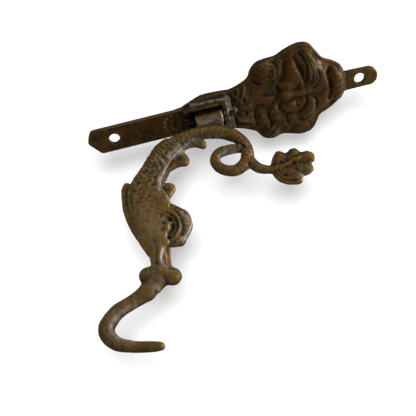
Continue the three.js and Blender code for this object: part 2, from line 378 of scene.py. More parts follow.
def plate_outline():
    turn = np.linspace(0, math.pi, 25)
    middle = TONGUE_TOP - TONGUE_HALF_WIDTH
    x = TONGUE_SHIFT + TONGUE_HALF_WIDTH * np.cos(turn)
    z = middle + TONGUE_HALF_WIDTH * np.sin(turn)
    tongue = np.stack([x, z], 1)
    foot = [
        (-STRAP_HALF_WIDTH, -14), (-STRAP_HALF_WIDTH, -50.0), (-5.0, -51.1), (-3.0, -52.3), (-0.9, -53),
        (0.1, -52.8), (1.2, -51.9), (5.2, -48.6), (STRAP_HALF_WIDTH, -47.6), (STRAP_HALF_WIDTH, -14),
    ]
    return np.vstack([foot, smooth_path(RIGHT_EDGE), tongue, smooth_path(LEFT_EDGE[::-1])])


def mask_outline():
    return np.vstack([smooth_path(RIGHT_EDGE[BEARD_START:]), smooth_path(LEFT_EDGE[BEARD_START:][::-1])])


def housing_outline():
    w = HOUSING_HALF_WIDTH
    right = smooth_path([(5.2, -10), (w - 0.9, -6), (w, 0), (w, 6), (w - 0.5, 11.4)])
    return np.vstack([right, right[::-1] * (-1, 1)])


FACE_MASSES = [
    # centre, half sizes, base, top, turn
    ((-1.4, 49.0), (9.5, 8.0), 5.0, 6.9, 0),       # forehead
    ((-0.9, 57.9), (8.4, 4.2), 3.0, 6.6, 0),       # forelock
    ((-1.6, 41.5), (2.2, 11.5), 4.6, 7.5, 0),      # bridge of the nose
    ((-2.2, 35.2), (3.6, 3.4), 4.4, 8.0, 0),       # tip of the nose
    ((-5.8, 36.6), (2.7, 4.4), 4.6, 7.1, -8),      # its left wing
    ((-11.0, 47.6), (8.0, 3.4), 4.6, 7.2, 6),      # left brow
    ((-9.6, 40.0), (6.4, 3.5), 4.4, 6.8, 12),      # left eye
    ((5.6, 44.4), (7.6, 4.4), 4.4, 7.2, -24),      # right brow
    ((4.0, 37.6), (3.5, 5.2), 4.4, 7.0, 4),        # right eye
    ((9.6, 36.2), (3.0, 3.6), 4.0, 6.0, -30),      # right cheek
    ((-15.4, 27.6), (4.4, 4.4), 3.0, 5.9, -24),    # left side of the muzzle
    ((-11.2, 27.2), (3.4, 4.6), 3.0, 5.6, 20),
    ((-2.0, 26.4), (2.6, 5.2), 3.8, 6.6, 0),       # lip
    ((3.2, 29.4), (3.6, 2.4), 3.8, 6.4, -38),      # right side of the muzzle
    ((7.6, 30.0), (3.2, 2.0), 3.6, 6.2, 42),
    ((4.8, 23.6), (6.4, 2.6), 3.0, 6.2, 2),
    ((13.6, 27.2), (3.4, 4.0), 2.8, 5.8, 0),
    ((-1.0, 16.8), (9.4, 6.2), 2.6, 6.0, 0),       # beard
]

# lighter and darker areas: tones of the metal, and painted shade and light where marked: centre, half
# sizes, amount
PLATE_TONES_AND_SHADES = [
    ((0, 70), (7, 7), 0.40),        # tongue
    ((0, -44), (9, 12), 0.10),      # foot of the strap
    ((-5.4, 1), (1.1, 11), 0.30),   # rubbed cheek of the housing
    ((0, -7.6), (5.0, 2.6), -0.55),     # painted shade round the lower ear
    ((-1.0, -6.4), (4.6, 1.2), -1.0),   # painted shade: the gap between the ear and the barrel painted black
    ((-3.2, 0.5), (1.0, 7.0), -0.6),    # shade in the recess
    ((-5.9, -30), (0.4, 20), 1.2),      # painted light: the strap's side wall, turned to the light, made lighter
    ((-4.95, -30), (0.3, 20), -0.45),   # darker line along the groove beside it
]
# pale lines, mostly painted highlights on edges and faces turned to the light: stops, width, amount
PLATE_DUST_AND_SHEEN = [
    # painted highlight along the lip under the chin
    ([(-7.2, 9.8), (-5.0, 9.9), (-2.0, 9.9)], 0.7, 1.0),
    ([(-2.0, 9.9), (6.0, 9.8)], 0.6, 0.5),
    ([(-2.0, 8.4), (5.0, 8.4)], 1.2, 0.15),
    # painted highlight on the cheek's outer edge
    ([(-7.5, -6.0), (-7.7, 2.0), (-7.3, 9.0)], 0.32, 0.8),
    ([(-1.4, 12.2), (0.4, 12.2)], 1.1, 0.45),
    ([(-11.6, 52.0), (-10.4, 52.4)], 1.1, 0.7),
    ([(4.6, 14.0), (5.6, 18.0)], 1.3, 0.25),
    # painted highlights on the rosette's lower edge
    ([(-3.2, -17.8), (-1.0, -18.8), (1.6, -18.8)], 0.6, 0.35),
]


def shape_face(r):
    """The main masses of the lion-like mask, all much worn."""
    for centre, half_sizes, base, top, turn in FACE_MASSES:
        r.mass(centre, half_sizes, base, top, turn, blend=0.8)


def carve_face(r):
    """Lines and hollows of the mask: brows, eyes, nose, mane, muzzle and forelock."""
    # forehead and forelock
    fold = [(-9.0, 56.2), (-7.2, 55.0), (-5.2, 54.7), (-2.6, 55.1), (0.2, 54.9), (3.2, 54.3), (5.6, 53.0)]
    r.ridge(fold, 0.8, -1.5)
    r.bump((-7.0, 54.7), (1.5, 1.2), -0.9)
    r.bump((4.2, 53.7), (1.8, 1.0), -0.8)
    for x in (-5.2, -2.4, 0.6, 3.4):
        r.ridge([(x, 56.6), (x * 0.9 - 0.2, 58.6), (x * 0.75 - 0.4, 60.4)], 0.6, -0.22)
    # line that sets off a rim along the upper edges
    left_rim = [(-17.5, 49.6), (-14.6, 51.1), (-12.2, 53.8), (-10.4, 57.4), (-8.4, 59.4), (-5.6, 60.1)]
    r.ridge(left_rim, 0.55, -0.8)
    r.ridge([(5.2, 58.2), (7.8, 54.8), (9.2, 51.4), (11.0, 48.4)], 0.6, -0.55)
    # nose, its wings and nostrils
    r.ridge([(-3.3, 43.2), (-3.2, 39.5), (-3.5, 35.6)], 0.4, -0.45)
    r.ridge([(0.5, 46.2), (0.4, 42.0), (0.4, 37.4)], 0.5, -0.8)
    r.bump((-5.4, 32.4), (2.3, 1.1), -1.2, turn=14)
    r.ridge([(1.0, 32.6), (2.6, 31.7), (4.4, 32.0), (5.8, 33.4)], 0.6, -1.1)
    # left brow: strands that sweep from the bridge of the nose to the temple
    brow = [
        [(-2.8, 45.2), (-2.7, 47.6), (-4.2, 49.9), (-7.2, 51.0), (-11.0, 50.8)],
        [(-3.6, 45.0), (-4.4, 47.6), (-6.6, 49.5), (-10.0, 50.1), (-14.0, 49.8)],
        [(-4.2, 45.2), (-5.6, 47.5), (-8.6, 48.8), (-12.0, 49.0), (-16.0, 48.2)],
        [(-4.6, 46.3), (-7.0, 47.6), (-11.0, 47.9), (-15.0, 47.2), (-18.2, 46.2)],
    ]
    for strand in brow:
        r.ridge(strand, 0.38, -0.62)
    brow_foot = [(-3.0, 44.5), (-5.0, 45.2), (-9.0, 45.6), (-13.0, 46.0), (-16.5, 45.2), (-18.6, 43.8)]
    r.ridge(brow_foot, 0.55, -1.15)
    r.ridge([(-2.6, 43.6), (-6.0, 44.2), (-10.0, 43.8), (-14.0, 42.4), (-17.8, 41.2)], 0.65, -1.3)
    # left eye, closed and worn smooth
    for k in range(4):
        crease = [(-6.4 - 1.9 * k, 42.4 - 0.3 * k), (-7.2 - 1.9 * k, 40.0), (-7.2 - 2.0 * k, 37.8)]
        r.ridge(crease, 0.5, -0.16)
    r.ridge([(-16.6, 37.0), (-13.0, 36.4), (-10.2, 35.4), (-8.4, 33.8)], 0.9, -1.2)
    # right brow and eye
    arch = [(1.4, 46.7), (3.6, 47.8), (6.2, 47.7), (8.6, 46.8), (10.4, 44.6), (11.5, 42.0), (11.2, 39.0)]
    r.ridge(arch, 0.62, -1.15)
    r.ridge([(0.6, 43.7), (3.0, 43.8), (5.0, 42.6), (6.6, 40.9), (8.3, 38.4)], 0.6, -1.25)
    r.bump((2.3, 41.6), (1.4, 1.7), 0.6)
    r.bump((2.2, 37.0), (1.3, 2.6), 0.55)
    r.ridge([(1.2, 39.4), (2.8, 38.9), (4.2, 39.7)], 0.45, -0.6)
    r.ridge([(3.6, 41.2), (4.6, 38.6), (4.2, 35.2)], 0.5, -0.45)
    r.ridge([(6.6, 36.6), (7.4, 34.4), (9.6, 33.9), (12.4, 34.6)], 0.6, -0.8)
    # mane at both sides
    r.hatching((-20.9, 39.3), (-17.6, 33.4), (2.9, 1.8), 6, 0.32, 0.5)
    r.hatching((-21.2, 45.4), (-20.9, 41.0), (2.4, 0.7), 4, 0.32, 0.35)
    r.hatching((-16.4, 33.4), (-11.6, 33.2), (2.0, 1.2), 4, 0.34, 0.4)
    r.hatching((12.6, 43.4), (12.2, 34.6), (4.6, 0.3), 9, 0.34, -0.42)
    # muzzle: a lobe each side of the lip, with curled strands
    r.ridge([(-17.6, 29.4), (-16.8, 31.4), (-14.4, 32.2), (-11.6, 31.9), (-10.2, 30.2)], 0.5, 0.5)
    for k in range(4):
        top, middle = (-16.4 + 2.0 * k, 30.6 - 0.3 * k), (-16.0 + 2.1 * k, 28.0 - 0.5 * k)
        foot = (-14.0 + 1.6 * k, 24.8 - 0.5 * k)
        r.ridge([top, middle, foot], 0.6, -0.42)
    r.bump((-18.5, 32.0), (1.2, 1.1), 0.7)
    r.ridge([(-9.2, 25.2), (-9.7, 23.6), (-10.8, 22.2)], 0.8, -1.1)
    r.ridge([(-3.3, 30.4), (-3.9, 27.0), (-4.6, 23.4)], 0.5, -0.7)
    r.ridge([(3.4, 26.7), (6.2, 26.3), (9.0, 26.6), (11.4, 26.2)], 0.6, -0.9)
    r.bump((9.6, 27.2), (1.6, 1.3), -0.8)
    r.hatching((-0.6, 25.4), (9.2, 25.4), (0.4, -3.6), 8, 0.42, -0.35)
    r.ridge([(0.6, 21.6), (3.0, 20.7), (7.0, 20.5), (10.2, 21.4)], 0.6, -0.9)
    r.hatching((11.4, 29.6), (14.8, 26.0), (1.6, -2.2), 4, 0.45, -0.38)


def carve_beard(r):
    """Curls under the muzzle, down to the hinge."""
    curls = [
        [(-11.6, 18.8), (-8.6, 18.0), (-5.6, 16.8)],
        [(-9.6, 15.6), (-7.4, 14.6), (-6.2, 12.6)],
        [(-1.6, 19.6), (-0.6, 17.2), (-1.4, 14.4)],
        [(7.2, 19.4), (6.0, 16.4), (4.8, 12.6)],
        [(9.0, 18.6), (8.6, 15.8), (7.6, 13.2)],
        [(3.2, 19.8), (2.8, 18.0), (3.6, 15.6)],
    ]
    for curl in curls:
        r.ridge(curl, 0.8, 0.55)
    pits = [(-3.7, 17.1), (2.2, 17.0), (-7.9, 13.9), (-4.8, 12.9), (1.6, 13.2)]
    for pit in pits:
        r.bump(pit, (1.5, 0.9), -1.1, turn=-24)


def carve_strap(r):
    """Shell-like rosette under the lower ear, and the worn engraving below it."""
    foot = np.array([0.4, -13.6])
    for k in range(7):
        turn = math.radians(-160 + 23.5 * k)
        petal = foot + 4.9 * np.array([math.cos(turn), math.sin(turn)])
        r.bump(petal, (1.5, 1.25), 1.0, turn=math.degrees(turn))
        r.bump(foot + 2.6 * (petal - foot) / 4.9, (1.5, 0.7), 0.45, turn=math.degrees(turn))
    r.ridge([(-3.2, -15.6), (-1.8, -17.4), (0.4, -18.0), (2.6, -17.4), (4.0, -15.6)], 0.4, -0.4)
    r.bump((-2.5, -13.0), (1.6, 1.2), -1.5)
    r.bump((0.0, -12.5), (1.4, 1.1), -1.3)
    r.ridge([(-4.9, -50.0), (-4.9, -32.0), (-4.9, -12.0)], 0.32, -0.45, taper=False)
    r.ridge([(-5.0, -24.2), (-3.0, -22.6), (-0.8, -21.2), (1.6, -22.8), (4.4, -25.6)], 0.5, -0.22)
    r.ridge([(-4.2, -24.8), (-4.3, -28.0), (-3.8, -30.4), (-1.8, -31.3), (0.6, -31.6)], 0.5, -0.20)
    r.ridge([(4.2, -26.0), (4.4, -29.2), (3.0, -31.2)], 0.5, -0.15)


def carve_housing(r):
    """Walls either side of the recess, with an ear across each end of it."""
    inside = depth_inside(housing_outline(), r.x, r.z)
    walls = CHEEK_HEIGHT + quarter_round(inside, 0.9)
    r.h = np.where(inside > 0, higher(r.h, walls, 0.3), r.h)
    flare = PLATE_THICKNESS + 0.9 * ease(1 + inside / 1.4)
    r.h = np.where((inside <= 0) & (r.z < 10), np.maximum(r.h, flare), r.h)
    recess = (np.abs(r.x) < RECESS_HALF_WIDTH) & (r.z > RECESS_BOTTOM) & (r.z < UPPER_EAR_Z[0])
    r.h = np.where(recess, RECESS_FLOOR, r.h)
    # the upper ear is a bar that runs across, with a boss above it
    bar = (np.abs(r.x) < 7.4) & (r.z > UPPER_EAR_Z[0]) & (r.z < 11.6)
    top = AXIS_HEIGHT + 0.2 + np.sqrt(np.clip(EAR_RADIUS ** 2 - r.x ** 2, 0, None)) * 0.55
    slope = top - 3.4 * ease((r.z - 9.2) / 1.7)
    beard = np.where(r.z > 9.0, r.h, 0)
    r.h = np.where(bar, np.maximum(slope, beard), r.h)
    r.bump((-0.6, 12.2), (2.0, 1.7), 1.3)
    low = (np.abs(r.x) < RECESS_HALF_WIDTH) & (r.z > LOWER_EAR_Z[0]) & (r.z < RECESS_BOTTOM)
    knuckle = AXIS_HEIGHT - 2.0 + np.sqrt(np.clip(EAR_RADIUS ** 2 - r.x ** 2, 0, None)) * 1.1
    r.h = np.where(low, knuckle, r.h)


def plate_relief():
    r = Relief((-23.8, 21.4), (-55.0, 78.9))
    edge = depth_inside(plate_outline(), r.x, r.z)
    in_mask = depth_inside(mask_outline(), r.x, r.z)
    r.h = np.where(in_mask > 0, PLATE_THICKNESS + 0.4 + 2.2 * ease(in_mask / 6.5), PLATE_THICKNESS)
    shape_face(r)
    r.h = soften(r.h, 5)
    carve_face(r)
    carve_beard(r)
    carve_strap(r)
    r.h -= 0.32 * np.exp(-((in_mask - 1.0) / 0.4) ** 2) * ease((r.z - 20) / 4)
    r.h = soften(r.h, 1)
    carve_housing(r)
    r.h += 0.10 * ripples(r.x, r.z, 3.1, SEED) + 0.05 * ripples(r.x, r.z, 1.1, SEED + 1)
    r.h += np.where(r.z < -10, quarter_round(edge, 0.35), quarter_round(edge, 0.7))
    return r, edge


def wall_plate():
    r, edge = plate_relief()
    holes = np.minimum(*[np.hypot(r.x - x, r.z - z) - HOLE_RADIUS for x, z in HOLES])
    r.h += quarter_round(holes, 0.1)
    sides = np.maximum(-edge, -holes)
    in_ears = (r.z > LOWER_EAR_Z[0] - 0.5) & (r.z < UPPER_EAR_Z[1] - 1.5)
    depths = np.arange(-10.5, 3 * STEP, STEP)
    field = np.empty((r.x.shape[0], len(depths), r.x.shape[1]), np.float32)
    for k, y in enumerate(depths):
        layer = np.maximum(np.maximum(-y - r.h, y), sides)
        bore = EAR_BORE_RADIUS - np.hypot(r.x, y + AXIS_HEIGHT)
        field[:, k, :] = np.where(in_ears, np.maximum(layer, bore), layer)
    origin = (r.x[0, 0], depths[0], r.z[0, 0])
    return casting("wall_plate_cast", field, origin, Matrix.Identity(4), PLATE_TONES_AND_SHADES, PLATE_DUST_AND_SHEEN, True)


# ---------------------------------------------------------------- swinging arm

BODY = [
    (6.2, -18.8), (8.6, -24.8), (12.7, -28.4), (18.0, -33.0), (23.1, -37.9), (28, -40.4), (35.2, -41.0),
    (42.5, -40.0), (49, -38.0), (55.3, -36.6), (60, -36.4), (66, -36.0), (66, -29.6), (60, -28.2),
    (56.4, -27.8), (52, -27),
    (45, -25), (37, -23.8), (33, -23.9), (27, -25.3), (22, -22.7), (17.5, -19.1), (12, -13),
]
BELLY_FIN = [
    (24, -38.2), (22.4, -39.0), (22.0, -40.6), (24, -42.2), (28, -43), (35.2, -43.3), (42.5, -42.2),
    (49, -39.8),
    (56, -37.0), (54, -35.4), (47, -37.4), (38, -39.0), (30, -39.0),
]
CREST = [
    (34.6, -26), (36.2, -23.4), (38.8, -20.1), (42.3, -17.2), (47.4, -16.8), (50.6, -18.3), (52.6, -20.1),
    (54.9, -21.9), (55.3, -23.8), (54.6, -27.4), (50, -31), (40, -31),
]
FINLETS = [
    [(7.6, -9), (9.4, -4.6), (11.2, -3.3), (13.2, -3.7), (13.8, -5.2), (12.2, -8.4), (12.0, -12),
     (13.6, -17), (11, -15)],
    [(11.6, -15.5), (14.8, -12.6), (17.9, -11.8), (20, -13.4), (19.6, -17), (20.6, -22), (15, -22)],
    [(26.0, -27), (26.4, -21.9), (28.9, -20.1), (31.2, -21.4), (33.4, -24.4), (30, -28)],
]
TAIL = [
    (16, -26, 4.4), (10.1, -19.8, 3.6), (6.8, -13, 2.9), (6, -6, 2.9), (6.9, 1, 3.0), (9.8, 7.2, 2.9),
    (14.3, 11.3, 2.6), (19.9, 12.6, 2.8), (25.2, 11.0, 2.8), (27.9, 5.8, 2.4), (25.8, 0.6, 2.3),
    (21.4, -1.5, 2.2),
    (18.2, 0.5, 2.2), (17.4, 4.6, 2.2), (17.9, 9.2, 2.0), (19.4, 12.6, 1.5),
]
STEM = [(24.4, 12.4, 2.3), (28.6, 14.6, 2.2), (31, 18, 1.9), (31.8, 22.5, 1.5)]
LEAF = [
    (31.8, 20), (28, 21.1), (24.6, 23.6), (24.3, 25.6), (25.7, 28), (24.4, 30.4), (25, 32.6), (26.9, 34),
    (27.4, 37), (29.4, 39), (32, 38.7), (33.3, 36.9), (36, 37.2), (37.8, 34.9), (38.4, 32.2), (41, 30.8),
    (40.7, 26.8), (38.8, 22.9), (35.6, 20.6),
]
HOOK = [
    (66, -34, 4.2), (71, -39.8, 3.7), (73.7, -46, 2.9), (76.6, -53.5, 3.1), (82.5, -58.6, 3.3),
    (88.6, -56, 2.8),
    (91.9, -49, 2.3), (93.6, -42, 2.1), (94.2, -39.2, 1.7),
]
COLLAR = [(67.5, -29.2, 2.9), (66.3, -33, 3.0), (64.8, -38.6, 2.9)]
BALLS = [(67.6, -29.0, 3.1), (64.6, -38.8, 3.2), (17.6, 10.2, 1.9)]   # two on the collar, one on the ring
SNOUT_HOLLOW = [
    (54.6, -27.6), (60, -27.4), (65.6, -27.2), (66.0, -29.2), (64.4, -31.0), (60.4, -32.0), (56.2, -30.6),
]
EYE = (46.4, -28.2)

# lighter and darker areas: tones of the metal, and painted shade on the barrel's side: centre, half sizes,
# amount
ARM_TONES_AND_SHADES = [
    ((44, -33.5), (13, 7), 0.56),   # cheek
    ((58, -34), (8, 4), 0.16),
    ((48, -22), (7, 4), -0.2),      # crest and gill
    ((22, -30), (12, 7), 0.10),     # scales
    ((32, 29), (11, 12), -0.20),    # leaf
    ((80, -54), (10, 10), -0.10),   # bend of the hook
    ((92, -46), (9, 12), -0.28),    # tip of the hook
    ((22, 0), (10, 6), -0.12),      # ring
    ((67.6, -26.6), (3, 1.6), -0.35),
    ((-1.6, 0), (1.4, 6), -0.30),   # shaded side of the barrel
]
# pale lines: painted highlights and reflections on walls and edges turned to the light, and a faint pale
# cast over the hook: stops, width, amount
ARM_DUST_AND_SHEEN = [
    # painted highlights on the walls beside the first finlets
    ([(9.0, -8.0), (10.4, -12.0), (12.6, -16.0), (15.4, -19.5)], 1.1, 0.85),
    ([(13.5, -9.0), (13.4, -13.0), (14.6, -16.5), (16.0, -19.5)], 1.0, 1.0),
    ([(15.4, -24.0), (17.0, -22.8), (20.0, -23.0), (24.0, -25.6), (30.0, -27.0)], 0.7, 0.7),
    ([(20.4, -21.0), (24.0, -23.8), (28.0, -25.0)], 0.6, 0.35),
    ([(31.8, -20.8), (33.2, -22.6), (33.6, -24.0)], 0.8, 0.6),
    ([(9.2, -7.0), (9.6, 0.0), (11.6, 5.0)], 0.6, 0.5),
    # painted reflection on the ring's inner wall
    ([(19.8, 8.2), (19.1, 5.6), (19.2, 3.0), (20.6, 1.0), (22.6, 0.6)], 0.8, 1.0),
    ([(36.8, 31.4), (38.2, 31.6)], 0.8, 0.6),
    # painted highlight along the crest's edge
    ([(42.0, -19.9), (44.6, -18.3), (48.6, -18.2), (52.4, -20.6), (54.2, -24.2)], 0.8, 0.8),
    ([(69.0, -36.0), (73.0, -44.0), (76.0, -53.0), (82.0, -58.6), (88.0, -56.0), (92.0, -48.0)], 3.0, 0.12),
    ([(72.6, -34.4), (71.4, -37.0)], 0.8, 0.5),
    ([(28.2, 10.4), (28.8, 11.6)], 0.7, 0.7),
    # painted highlight in the hollow along the snout
    ([(56.0, -30.5), (60.0, -32.0), (64.0, -31.0), (65.8, -29.0)], 0.7, 0.5),
    # painted reflection on the barrel's face, and on its top edge
    ([(2.4, -4.6), (2.4, 0.0), (2.4, 6.4)], 1.3, 0.6),
    ([(-1.0, 6.3), (5.0, 6.6)], 0.5, 0.9),
    # painted highlight along the hook's inner edge
    ([(75.8, -45.4), (78.0, -52.0), (82.8, -56.4), (87.2, -54.6), (90.4, -48.6)], 0.9, 0.55),
    ([(63.4, -35.0), (65.6, -36.4)], 0.9, 0.5),
]


def round_bar(stops, r):
    """Distance to a bar's centre line, the bar's radius there, and the place along it."""
    path = smooth_path(stops)
    d, place = nearest(path, r.x, r.z)
    lengths = np.hypot(*(path[1:, :2] - path[:-1, :2]).T)
    along = np.concatenate([[0], np.cumsum(lengths)])
    return d, np.interp(place, along, path[:, 2]), place


def carve_scales(r):
    """Worn scales on the fish's flank: rows of small domes, no two quite alike."""
    rng = np.random.default_rng(SEED + 4)
    spine = smooth_path([(11.5, -22.0), (15.0, -27.0), (20.5, -30.4), (27.0, -32.6), (34.6, -33.4)], 12)
    for row in range(-3, 4):
        for k in range(15):
            t = (k + 0.5 * (row % 2)) / 15 * (len(spine) - 2)
            foot, ahead = spine[int(t)], spine[int(t) + 1]
            along = (ahead - foot) / np.linalg.norm(ahead - foot)
            centre = foot + row * 1.5 * np.array([-along[1], along[0]]) + rng.uniform(-0.35, 0.35, 2)
            turn = math.degrees(math.atan2(along[1], along[0])) + rng.uniform(-20, 20)
            r.bump(centre, (rng.uniform(1.0, 1.6), rng.uniform(0.9, 1.2)), rng.uniform(0.05, 0.38), turn)
            r.bump(centre + 1.1 * along, (0.8, 0.7), -rng.uniform(0.0, 0.3), turn)
    r.hatching((6.4, -19.6), (19.6, -33.6), (3.2, 1.9), 12, 0.5, 0.35)
    pits = [(27.0, -29.3), (25.0, -30.2), (32.0, -31.4), (20.0, -31.0), (25.0, -35.0), (31.8, -35.0),
            (33.4, -36.9), (28.0, -37.2), (13.8, -20.6), (18.0, -27.0), (15.6, -24.8)]
    for pit in pits:
        r.bump(pit, (1.2, 0.9), -0.6, turn=-30)


def carve_head(r):
    """Crest, arched lids over the eye, gill line and the hollow along the snout."""
    dx, dz = r.x - EYE[0], r.z - EYE[1]
    rho = np.hypot(dx / 1.05, dz)
    turn = np.degrees(np.arctan2(dz, dx))
    arch = ease((turn - 4) / 18) * ease((172 - turn) / 18)
    lids = 0.85 * np.exp(-((rho - 6.5) / 0.65) ** 2) - 0.75 * np.exp(-((rho - 5.4) / 0.55) ** 2)
    lids += 0.4 * np.exp(-((rho - 4.9) / 0.5) ** 2) - 1.15 * np.exp(-((rho - 3.9) / 0.6) ** 2)
    lids -= 0.45 * np.exp(-((rho - 7.7) / 0.7) ** 2)
    r.h += arch * lids
    rays = np.cos(np.radians(turn) * 30) * np.exp(-((rho - 8.6) / 0.8) ** 2)
    r.h += 0.10 * rays * ease((turn - 40) / 15) * ease((150 - turn) / 15)
    r.bump((45.6, -24.6), (1.6, 1.0), 0.9, turn=20)
    r.bump((47.0, -26.6), (2.2, 1.2), 0.8, turn=-18)
    pits = [
        ((43.9, -25.2), 1.2, 0.9), ((41.8, -28.3), 1.5, 0.7), ((45.2, -28.2), 1.0, 0.6),
        ((48.0, -29.0), 1.1, 0.8), ((51.6, -27.3), 1.3, 0.8), ((37.0, -31.4), 0.8, 0.35),
        ((43.6, -34.4), 0.8, 0.35), ((72.9, -36.6), 1.1, 0.8),
    ]
    for pit, size, depth in pits:
        r.bump(pit, (size, size * 0.8), -depth, turn=-25)
    r.bump((44.0, -35.0), (12, 6), 0.4)
    r.ridge([(34.2, -27.2), (35.2, -31.0), (35.0, -35.0), (34.4, -38.4)], 0.6, 0.2)
    scoop = depth_inside(smooth_path(SNOUT_HOLLOW, closed=True), r.x, r.z)
    r.h -= 1.5 * ease(scoop / 0.7)
    r.ridge([(51.0, -34.2), (54.4, -33.0), (58.6, -33.9), (62.6, -34.2)], 0.6, -0.5)
    r.ridge([(61.8, -34.4), (64.6, -35.8), (66.0, -37.8)], 0.6, -0.15)
    r.ridge([(66.0, -30.6), (65.4, -32.6), (63.6, -34.0)], 0.7, 0.5)
    r.ridge([(67.6, -33.4), (69.4, -32.0), (71.4, -31.8)], 0.7, -0.4)


def carve_back(r):
    """The arched line between the smooth back and the scales, and the lines along the fins."""
    arch = [(15.6, -25.4), (16.6, -23.4), (18.6, -22.2), (21.0, -22.8), (24.4, -26.0), (29.0, -26.8),
            (33.0, -27.4)]
    r.ridge(arch, 0.55, 0.35)
    r.ridge([(17.0, -25.6), (18.8, -23.7), (20.8, -24.2), (24.0, -27.4), (28.6, -28.2)], 0.5, -0.5)
    r.ridge([(10.4, -9.0), (11.0, -14.0), (13.0, -19.0)], 0.7, -0.55)
    r.ridge([(24.6, -38.0), (28.0, -38.5), (32.0, -39.0), (37.0, -39.2)], 0.5, -0.3)
    for fin in FINLETS:
        loop = np.array(fin)
        foot, tip = (loop[0] + loop[-1]) / 2, loop[len(fin) // 2]
        r.ridge([foot, (foot + tip) / 2, tip * 0.8 + foot * 0.2], 0.7, -0.25)


def carve_tail(r, d, radius, place):
    """Faint turns across the tail rod, as on a rope worn smooth."""
    on_rod = ease((radius + 0.6 - d) / 0.6) * ease((place - 4) / 5)
    fade = 0.55 + 0.45 * ripples(r.x, r.z, 5.0, SEED + 6)
    drift = 0.9 * ripples(r.x, r.z, 4.0, SEED + 8)
    r.h += on_rod * fade * 0.075 * np.cos(2 * math.pi * (place + 0.3 * r.x + drift) / 2.1)


def carve_leaf(r):
    """Midrib and veins that fan out from the stem, with pits between them."""
    r.ridge([(32.8, 19.6), (32.0, 23.0), (31.6, 26.8), (30.4, 30.0), (29.8, 33.6)], 0.75, 0.75)
    flutes = [
        [(30.8, 31.0), (30.4, 34.4), (30.2, 38.0)],
        [(33.4, 30.8), (35.0, 33.4), (36.2, 36.0)],
        [(29.6, 29.4), (27.6, 31.0), (25.8, 32.2)],
        [(34.6, 27.4), (37.6, 28.8), (40.4, 29.4)],
        [(29.8, 24.0), (27.4, 24.8), (25.2, 26.0)],
    ]
    for flute in flutes:
        r.ridge(flute, 1.3, 0.3)
    creases = [
        [(31.6, 29.8), (32.6, 33.0), (32.6, 37.2)],
        [(29.4, 30.6), (28.0, 33.4), (26.8, 35.4)],
        [(29.6, 27.0), (27.6, 28.0), (25.8, 28.4)],
        [(34.4, 29.4), (36.8, 31.2), (38.8, 31.8)],
        [(31.2, 21.6), (28.8, 22.4), (26.4, 24.0)],
        [(33.6, 21.4), (36.6, 22.8), (39.2, 26.2), (39.9, 29.2)],
        [(33.2, 22.6), (35.6, 23.8), (37.8, 26.6)],
    ]
    for crease in creases:
        r.ridge(crease, 0.42, -0.34)
    for pit in [(31.9, 29.6), (29.9, 27.2), (30.4, 25.2), (36.2, 25.2)]:
        r.bump(pit, (1.4, 1.1), -0.6, turn=50)


def flat_parts(r):
    """Flat parts of the arm, each as its depth inside the outline and its half thickness."""
    body = depth_inside(smooth_path(BODY, closed=True), r.x, r.z)
    fin = depth_inside(smooth_path(BELLY_FIN, closed=True), r.x, r.z)
    crest = depth_inside(smooth_path(CREST, closed=True), r.x, r.z)
    leaf = depth_inside(smooth_path(LEAF, closed=True), r.x, r.z)
    slim = ease((r.x - 50) / 12)
    full = 2.8 + 1.1 * np.sqrt(1 - (1 - np.clip(body / 5.5, 0, 1)) ** 2)
    flats = [
        (body, full * (1 - 0.12 * slim)),
        (fin, 2.1 + 0.3 * ease(fin / 1.0) + 0.7 * ease((r.x - 30) / 12)),
        (crest, 1.5 + 1.5 * ease(crest / 4.0)),
        (leaf, 1.0 + 0.5 * ease(leaf / 2.5)),
    ]
    for outline in FINLETS:
        depth = depth_inside(smooth_path(outline, closed=True), r.x, r.z)
        flats.append((depth, 1.1 + 0.5 * ease(depth / 1.6)))
    return flats


def swing_arm():
    r = Relief((-3.6, 97.0), (-63.4, 41.0))
    flats = flat_parts(r)
    tail_distance, tail_radius, tail_place = round_bar(TAIL, r)
    rounds = [(tail_distance, tail_radius)] + [round_bar(stops, r)[:2] for stops in (STEM, HOOK, COLLAR)]
    rounds += [(np.hypot(r.x - x, r.z - z), radius) for x, z, radius in BALLS]
    carve_scales(r)
    carve_head(r)
    carve_back(r)
    carve_leaf(r)
    r.h = soften(r.h, 2)
    carve_tail(r, tail_distance, tail_radius, tail_place)
    r.h += 0.09 * ripples(r.x, r.z, 2.7, SEED + 2) + 0.06 * ripples(r.x, r.z, 0.9, SEED + 3)

    middle, half = (BARREL_Z[0] + BARREL_Z[1]) / 2, (BARREL_Z[1] - BARREL_Z[0]) / 2
    ends = np.abs(r.z - middle) - half
    web = np.maximum(np.maximum(r.x - 6, -r.x), ends + 0.6)
    depths = np.arange(-5.2, 5.2, STEP)
    field = np.empty((r.x.shape[0], len(depths), r.x.shape[1]), np.float32)
    joint = 0.6 + 1.6 * ease((r.x - 58) / 6)     # the hook flows out of the snout and collar
    for k, y in enumerate(depths):
        layer = np.full(r.x.shape, 1e3)
        for inside, half_thickness in flats:
            layer = lower(layer, higher(-inside, np.abs(y) - half_thickness, 0.8), 0.6)
        for d, radius in rounds:
            layer = lower(layer, np.hypot(d, y) - radius, joint)
        layer -= r.h * ease(abs(y) / 1.2)
        layer = lower(layer, higher(np.hypot(r.x, y) - BARREL_RADIUS, ends, 0.4), 0.5)
        layer = lower(layer, np.maximum(web, abs(y) - 2.2), 0.6)
        field[:, k, :] = np.maximum(layer, BORE_RADIUS - np.hypot(r.x, y))
    place = Matrix.Translation(PIN_AXIS) @ Matrix.Rotation(math.radians(-ARM_ANGLE), 4, "Z")
    origin = (r.x[0, 0], depths[0], r.z[0, 0])
    return casting("swing_arm_cast", field, origin, place, ARM_TONES_AND_SHADES, ARM_DUST_AND_SHEEN, False)


# ---------------------------------------------------------------- pin

